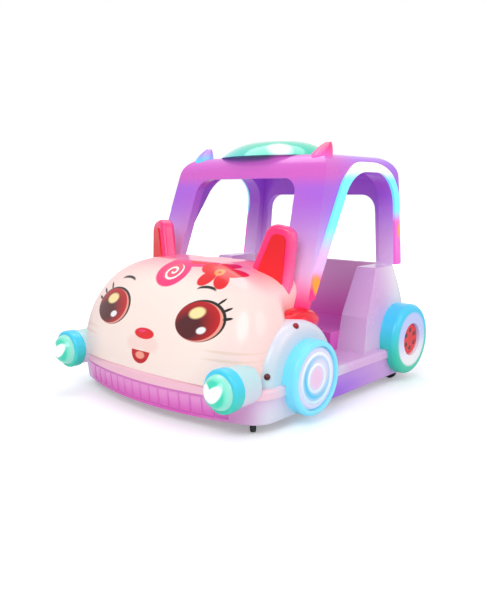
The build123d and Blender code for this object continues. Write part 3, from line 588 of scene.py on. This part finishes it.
def make_cap_finish(c):
    """Red hub with a ring of holes, painted as dark spots of painted shade."""
    material, tree, shader = start_material("cap_gloss")
    x, y, z = place(tree)
    low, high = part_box("rear_cover_caps")
    cy, cz = (low[1] + high[1]) / 2, (low[2] + high[2]) / 2
    base = blend(tree, oval(tree, y, z, (cy, cz), (0.088, 0.088), 0.0, 0.3), c.hot_pink, c.red)
    # Painted shade: six dark spots stand for the shade inside the hub's holes.
    for step in range(6):
        angle = math.radians(60 * step + 30)
        hole = (cy + 0.048 * math.cos(angle), cz + 0.048 * math.sin(angle))
        base = blend(tree, oval(tree, y, z, hole, (0.013, 0.013), 0.0, 0.3), base, c.maroon)
    finish_gloss(tree, shader, base, glow=0.06)
    return material


def make_rear_cover_finish(c):
    """Green tyre of the rear lamp, with a white to lavender ring inside it."""
    material, tree, shader = start_material("rear_cover_gloss")
    x, y, z = place(tree)
    low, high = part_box("rear_wheel_cover_left")
    cy, cz = (low[1] + high[1]) / 2, (low[2] + high[2]) / 2
    base = blend(tree, fade(tree, z, cz - 0.10, cz + 0.14), c.teal, c.cyan)
    ring = oval(tree, y, z, (cy, cz), (0.142, 0.142), 0.0, 0.1)
    inner = blend(tree, fade(tree, z, cz + 0.05, cz - 0.12), (0.55, 0.62, 0.98), c.white)
    base = blend(tree, ring, base, inner)
    finish_gloss(tree, shader, base, glow=0.08)
    return material


def make_dark_finish(name, base_colour, rough, grain):
    """Dark plastic, rubber or paint with patchy wear in its shine."""
    material, tree, shader = start_material(name)
    patches = cloudy(tree, 22.0, 0.0, 1.0)
    worn = tuple(min(1.0, 1.6 * part + 0.012) for part in base_colour)
    base = blend(tree, calc(tree, "MULTIPLY", patches, 0.5), base_colour, worn)
    set_input(tree, shader.inputs["Base Color"], base)
    tree.links.new(cloudy(tree, 30.0, rough * 0.8, min(1.0, rough * 1.25)), shader.inputs["Roughness"])
    node = tree.nodes.new("ShaderNodeGroup")
    node.node_tree = grain_group()
    node.inputs["Depth"].default_value = grain
    tree.links.new(node.outputs[0], shader.inputs["Normal"])
    return material


def make_zinc_finish(c):
    """Zinc-plated steel with a mottled shine."""
    material = make_dark_finish("zinc_plate", tuple(c.zinc), 0.32, 0.2)
    material.node_tree.nodes["Principled BSDF"].inputs["Metallic"].default_value = 1.0
    return material


def dress(material, *names):
    """Gives a material to every slot of the named CAD nodes."""
    for name in names:
        mesh = frame["nodes"][name].data
        mesh.materials.clear()
        mesh.materials.append(material)


def dress_nodes():
    """Chooses the finish of every CAD node."""
    c = colours()
    pale = tuple(c.pale)
    sides = ("left", "right")
    corners = ("front_left", "front_right", "rear_left", "rear_right")
    dress(make_hood_finish(c), "hood_shell")
    dress(make_skirt_finish(c), "bumper_skirt")
    dress(make_tray_finish(c), "base_tray")
    dress(make_tail_finish(c), "rear_body")
    dress(make_seat_finish(c), "seat_bench", "seat_back", "dash_panel")
    dress(make_canopy_finish(c), "canopy_shell")
    dress(make_strip_finish(c), *("light_strip_" + side for side in sides))
    dress(make_dome_finish(c), "roof_dome")
    dress(make_ear_finish(c), *("hood_ear_" + side for side in sides))
    dress(make_fade_finish("ear_panel_gloss", 0.55, 0.82, tuple(c.red), (0.93, 0.01, 0.02)), "hood_ear_panels")
    dress(make_fade_finish("roof_ear_blue", 1.16, 1.24, tuple(c.violet), tuple(c.cyan), 0.2), "roof_ear_right")
    dress(make_fade_finish("roof_ear_red", 1.16, 1.24, tuple(c.hot_pink), tuple(c.magenta), 0.15), "roof_ear_left")
    dress(make_fade_finish("fender_gloss", 0.22, 0.44, pale, (0.55, 0.72, 0.80)),
          *("front_fender_" + side for side in sides))
    dress(make_fade_finish("pod_gloss", 0.14, 0.30, (0.50, 0.74, 0.78), pale), "headlamp_pods")
    dress(make_fade_finish("lamp_ring_gloss", 0.12, 0.32, tuple(c.cyan), tuple(c.teal), 0.12), "headlamp_rings")
    dress(make_heart_lens_finish(c), "headlamp_lenses")
    dress(make_ring_finish("front_cover_gloss", (0.30, 0.85, 1.0), tuple(c.cyan), 0.12, "front_wheel_cover_left", 0.17),
          *("front_wheel_cover_" + side for side in sides))
    dress(make_disc_finish(c), "front_cover_discs")
    dress(make_rear_cover_finish(c), *("rear_wheel_cover_" + side for side in sides))
    dress(make_cap_finish(c), "rear_cover_caps")
    dress(make_fade_finish("boot_gloss", 0.38, 0.48, tuple(c.red), tuple(c.hot_pink)), "pillar_boots")
    dress(make_fade_finish("marker_gloss", 0.2, 0.5, (0.30, 0.004, 0.012), tuple(c.maroon)), "marker_lamps")
    dress(make_fade_finish("tail_lamp_gloss", 0.29, 0.37, tuple(c.red), tuple(c.maroon), 0.1), "tail_lamps")
    dress(make_dark_finish("frame_paint", tuple(c.steel), 0.45, 0.4), "chassis_frame")
    dress(make_dark_finish("motor_paint", tuple(c.steel), 0.35, 0.2), "drive_motors")
    dress(make_dark_finish("dark_plastic", (0.02, 0.02, 0.022), 0.5, 0.6),
          "battery_block", "steering_wheel", "steering_column")
    dress(make_dark_finish("tyre_rubber", (0.018, 0.018, 0.019), 0.75, 0.8),
          *("drive_wheel_" + side for side in sides), *("caster_wheel_" + corner for corner in corners))
    dress(make_zinc_finish(c), *("caster_fork_" + corner for corner in corners))


# Added pieces: sizes in metres
RIB_SPAN = 1.0
RIB_ROOT = 0.004
RIB_DRAFT = 0.014
RIB_ARC_POINTS = 9
RIB_END_SHARE = 1.6
RIB_END_SWELL = 0.3
DISC_RING_RADII = (0.060, 0.108)
DISC_RING_SINK = 0.001
RING_STEPS = 64
RING_PROFILE_POINTS = 12
NUT_AXLE_REACH = 0.0225
NUT_PROFILE = ((0.0005, 0.0), (0.0075, 0.0), (0.0075, 0.004), (0.005, 0.0065), (0.0005, 0.0070))
NUT_STEPS = 24

def mesh_piece(name, points, faces, material, body, smooth=True):
    """A mesh object in the car's frame that rides on a body."""
    mesh = bpy.data.meshes.new(name)
    mesh.from_pydata(points.reshape(-1, 3).tolist(), [], faces)
    mesh.materials.append(material)
    mesh.polygons.foreach_set("use_smooth", np.full(len(mesh.polygons), smooth))
    piece = bpy.data.objects.new(name, mesh)
    bpy.context.scene.collection.objects.link(piece)
    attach(piece, body)
    return piece


def grid_faces(rows, columns, start=0, wrap=True):
    """Quads of a grid whose columns close on themselves; the last row joins the first where wrap is set."""
    i, j = np.meshgrid(np.arange(rows if wrap else rows - 1), np.arange(columns), indexing="ij")
    a = i * columns + j
    b = i * columns + (j + 1) % columns
    c = ((i + 1) % rows) * columns + (j + 1) % columns
    d = ((i + 1) % rows) * columns + j
    return (np.stack([a, b, c, d], -1).reshape(-1, 4) + start).tolist()


def handed_faces(faces, side):
    """Turns the faces round on the mirrored side, so that they still look outward."""
    return [face[::-1] for face in faces] if side < 0 else faces


def ring_points(profile, centre, axis, count):
    """Turns a closed profile of (radius, along) about an X or Y axis: one grid row for each angle."""
    angle = np.linspace(0.0, 2 * math.pi, count, endpoint=False)[:, None]
    radius = np.array([p[0] for p in profile])[None, :]
    along = np.array([p[1] for p in profile])[None, :] + 0.0 * angle
    u = radius * np.cos(angle)
    v = radius * np.sin(angle)
    order = (along, u, v) if axis == "x" else (u, along, v)
    return np.stack(order, -1) + np.array(centre)


def add_flutes():
    """Half-round upright ribs along the bow of the skirt: the front line is the bow's arc."""
    s = sizes()
    low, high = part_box("bumper_skirt")
    count = int(RIB_SPAN / s.rib_pitch)
    centre_x = (np.arange(count) - (count - 1) / 2) * s.rib_pitch
    sweep = np.linspace(-0.5 * math.pi, 0.5 * math.pi, RIB_ARC_POINTS)
    across = np.concatenate([np.sin(sweep) * s.rib_width / 2, [0.0]])
    out = np.concatenate([np.cos(sweep) * s.rib_rise, [-RIB_ROOT]])
    inner_margin = s.rib_margin * RIB_END_SHARE
    z = np.array([low[2] + s.rib_margin, low[2] + inner_margin, high[2] - inner_margin, high[2] - s.rib_margin])
    swell = np.array([RIB_END_SWELL, 1.0, 1.0, RIB_END_SWELL])
    rows, columns = len(z), len(out)
    draft = (high[2] - z) / (high[2] - low[2]) * RIB_DRAFT
    x = centre_x[:, None, None] + across[None, None, :] + 0.0 * z[None, :, None]
    sag = s.bow_radius - np.sqrt(s.bow_radius ** 2 - x ** 2)
    front = out[None, None, :] * swell[None, :, None] * (out > 0)
    y = low[1] + sag + draft[None, :, None] - front + RIB_ROOT * (out < 0)
    points = np.stack([x, y, z[None, :, None] + 0.0 * x], -1)
    faces = []
    for start in range(0, count * rows * columns, rows * columns):
        faces += grid_faces(rows, columns, start, wrap=False)
        faces.append([start + k for k in reversed(range(columns))])
        faces.append([start + (rows - 1) * columns + k for k in range(columns)])
    material = make_fade_finish("flute_gloss", 0.06, 0.15, (0.80, 0.30, 0.66), tuple(colours().magenta))
    mesh_piece("skirt_flutes", points, faces, material, "root")


def add_disc_rings():
    """A raised round ring on each front wheel disc, turned about the disc's own middle."""
    s = sizes()
    low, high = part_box("front_cover_discs")
    centre_y, centre_z = (low[1] + high[1]) / 2, (low[2] + high[2]) / 2
    sweep = np.linspace(0.0, 2 * math.pi, RING_PROFILE_POINTS, endpoint=False)
    material = make_fade_finish("disc_ring_gloss", 0.08, 0.34, (0.90, 0.90, 1.0), (0.60, 0.80, 1.0), 0.15)
    for side, hand in ((1, "left"), (-1, "right")):
        centre = (side * (high[0] - DISC_RING_SINK), centre_y, centre_z)
        for radius in DISC_RING_RADII:
            profile = [(radius + s.ring_width / 2 * math.cos(t), side * (s.ring_rise * math.sin(t))) for t in sweep]
            points = ring_points(profile, centre, "x", RING_STEPS)
            faces = handed_faces(grid_faces(RING_STEPS, RING_PROFILE_POINTS), side)
            name = "disc_ring_%s_%d" % (hand, round(1000 * radius))
            mesh_piece(name, points, faces, material, "root")


def add_caster_nuts():
    """Domed nuts on the caster axles, which ride on their forks."""
    material = make_zinc_finish(colours())
    for joint in frame["record"]["behaviour"]["joints"]:
        if not joint["name"].startswith("caster_roll_"):
            continue
        corner = joint["name"][len("caster_roll_"):]
        axis = Vector(joint["axis"]).normalized()
        turn = Vector((1, 0, 0)).rotation_difference(axis).to_matrix()
        profile = [(radius, NUT_AXLE_REACH + along) for radius, along in NUT_PROFILE]
        for side, hand in ((1, "outer"), (-1, "inner")):
            points = ring_points(profile, (0, 0, 0), "x", NUT_STEPS) * np.array([side, 1.0, 1.0])
            points = points @ np.array(turn).T + np.array(joint["pos_m"])
            faces = handed_faces(grid_faces(NUT_STEPS, len(profile)), side)
            name = "caster_nut_%s_%s" % (corner, hand)
            mesh_piece(name, points, faces, material, "caster_fork_" + corner)


# Studio: places in metres, power in watts
LIGHTS = (
    ("key_light", (1.6, -3.4, 3.4), (0.0, 0.0, 0.5), 2.6, 72.0),
    ("side_light", (3.6, 0.6, 2.6), (0.0, 0.0, 0.5), 2.4, 32.0),
    ("top_light", (-1.0, 0.6, 4.2), (0.0, 0.0, 0.4), 3.0, 50.0),
)
FLOOR_REACH = 30.0
FLOOR_POOL = 2.6
FLOOR_LIFT = 0.30
WORLD_LIGHT = 0.50
SENSOR_WIDTH = 36.0

def area_light(name, place_at, aim, size, power):
    light = bpy.data.lights.new(name, "AREA")
    light.shape = "DISK"
    light.size = size
    light.energy = power
    lamp = bpy.data.objects.new(name, light)
    lamp.location = place_at
    lamp.rotation_euler = (Vector(aim) - Vector(place_at)).to_track_quat("-Z", "Y").to_euler()
    bpy.context.scene.collection.objects.link(lamp)


def make_floor():
    """Large pale floor that keeps the car's soft shadow."""
    corners = FLOOR_REACH * np.array([(-1.0, -1.0, 0.0), (1.0, -1.0, 0.0), (1.0, 1.0, 0.0), (-1.0, 1.0, 0.0)])
    mesh = bpy.data.meshes.new("studio_floor")
    mesh.from_pydata(corners.tolist(), [], [(0, 1, 2, 3)])
    material, tree, shader = start_material("floor_white")
    base = blend(tree, cloudy(tree, 0.8, 0.0, 1.0), (0.90, 0.91, 0.94), (0.93, 0.93, 0.95))
    set_input(tree, shader.inputs["Base Color"], base)
    shader.inputs["Roughness"].default_value = 0.7
    shader.inputs["Specular IOR Level"].default_value = 0.15
    x, y, z = place(tree)
    path = tree.nodes.new("ShaderNodeLightPath")
    near = oval(tree, x, y, (0.0, 0.0), (FLOOR_POOL, FLOOR_POOL), 0.0, 0.8)
    lift = calc(tree, "MULTIPLY_ADD", calc(tree, "SUBTRACT", 1.0, near), 0.75, FLOOR_LIFT)
    set_input(tree, shader.inputs["Emission Color"], (0.97, 0.98, 1.0))
    set_input(tree, shader.inputs["Emission Strength"], calc(tree, "MULTIPLY", path.outputs["Is Camera Ray"], lift))
    mesh.materials.append(material)
    floor = bpy.data.objects.new("studio_floor", mesh)
    bpy.context.scene.collection.objects.link(floor)


def make_world():
    """White to the camera and in reflections, and a soft grey-white light on the car."""
    world = bpy.data.worlds.new("studio_world")
    world.use_nodes = True
    tree = world.node_tree
    back = tree.nodes["Background"]
    path = tree.nodes.new("ShaderNodeLightPath")
    seen = calc(tree, "MAXIMUM", path.outputs["Is Camera Ray"], path.outputs["Is Glossy Ray"])
    seen = calc(tree, "MAXIMUM", seen, path.outputs["Is Transmission Ray"])
    set_input(tree, back.inputs["Color"], (1.0, 1.0, 1.0))
    set_input(tree, back.inputs["Strength"], calc(tree, "MULTIPLY_ADD", seen, 1.0 - WORLD_LIGHT, WORLD_LIGHT))
    bpy.context.scene.world = world


def make_camera():
    s = sizes()
    data = bpy.data.cameras.new("photo_camera")
    data.lens = s.camera_lens
    data.sensor_width = SENSOR_WIDTH
    camera = bpy.data.objects.new("photo_camera", data)
    camera.location = s.camera_place
    camera.rotation_euler = (math.pi / 2 - s.camera_pitch, 0.0, s.camera_turn)
    bpy.context.scene.collection.objects.link(camera)
    bpy.context.scene.camera = camera


class CAR_OT_finishes(bpy.types.Operator):
    """Give every CAD node its finish"""
    bl_idname = "car.finishes"
    bl_label = "Add Finishes"

    def execute(self, context):
        dress_nodes()
        return {"FINISHED"}


class CAR_OT_flutes(bpy.types.Operator):
    """Add the ribs along the front of the skirt"""
    bl_idname = "car.flutes"
    bl_label = "Add Skirt Flutes"

    def execute(self, context):
        add_flutes()
        return {"FINISHED"}


class CAR_OT_disc_rings(bpy.types.Operator):
    """Add the raised rings of the front wheel discs"""
    bl_idname = "car.disc_rings"
    bl_label = "Add Disc Rings"

    def execute(self, context):
        add_disc_rings()
        return {"FINISHED"}


class CAR_OT_caster_nuts(bpy.types.Operator):
    """Add the nuts of the caster axles"""
    bl_idname = "car.caster_nuts"
    bl_label = "Add Caster Nuts"

    def execute(self, context):
        add_caster_nuts()
        return {"FINISHED"}


class CAR_OT_stage(bpy.types.Operator):
    """Add the floor, the lights, the world and the camera"""
    bl_idname = "car.stage"
    bl_label = "Add Studio"

    def execute(self, context):
        make_floor()
        make_world()
        for light in LIGHTS:
            area_light(*light)
        make_camera()
        bpy.context.scene.view_settings.view_transform = "Standard"
        return {"FINISHED"}


class CAR_PT_panel(bpy.types.Panel):
    """Sidebar panel with one button for each step"""
    bl_idname = "CAR_PT_panel"
    bl_label = "Bumper Car"
    bl_space_type = "VIEW_3D"
    bl_region_type = "UI"
    bl_category = "Bumper Car"

    def draw(self, context):
        for step in STEPS:
            self.layout.operator(step.bl_idname)
        for name in CarSizes.__annotations__:
            self.layout.prop(sizes(), name)
        for name in CarColours.__annotations__:
            self.layout.prop(colours(), name)


STEPS = (CAR_OT_finishes, CAR_OT_flutes, CAR_OT_disc_rings, CAR_OT_caster_nuts, CAR_OT_stage)
CLASSES = (CarColours, CarSizes) + STEPS + (CAR_PT_panel,)


def register():
    for cls in CLASSES:
        bpy.utils.register_class(cls)
    bpy.types.Scene.car_colours = bpy.props.PointerProperty(type=CarColours)
    bpy.types.Scene.car_sizes = bpy.props.PointerProperty(type=CarSizes)


def unregister():
    del bpy.types.Scene.car_sizes
    del bpy.types.Scene.car_colours
    for cls in reversed(CLASSES):
        bpy.utils.unregister_class(cls)


def main():
    register()
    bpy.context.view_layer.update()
    bpy.ops.car.finishes()
    bpy.ops.car.flutes()
    bpy.ops.car.disc_rings()
    bpy.ops.car.caster_nuts()
    bpy.ops.car.stage()


if __name__ == "__main__":
    main()
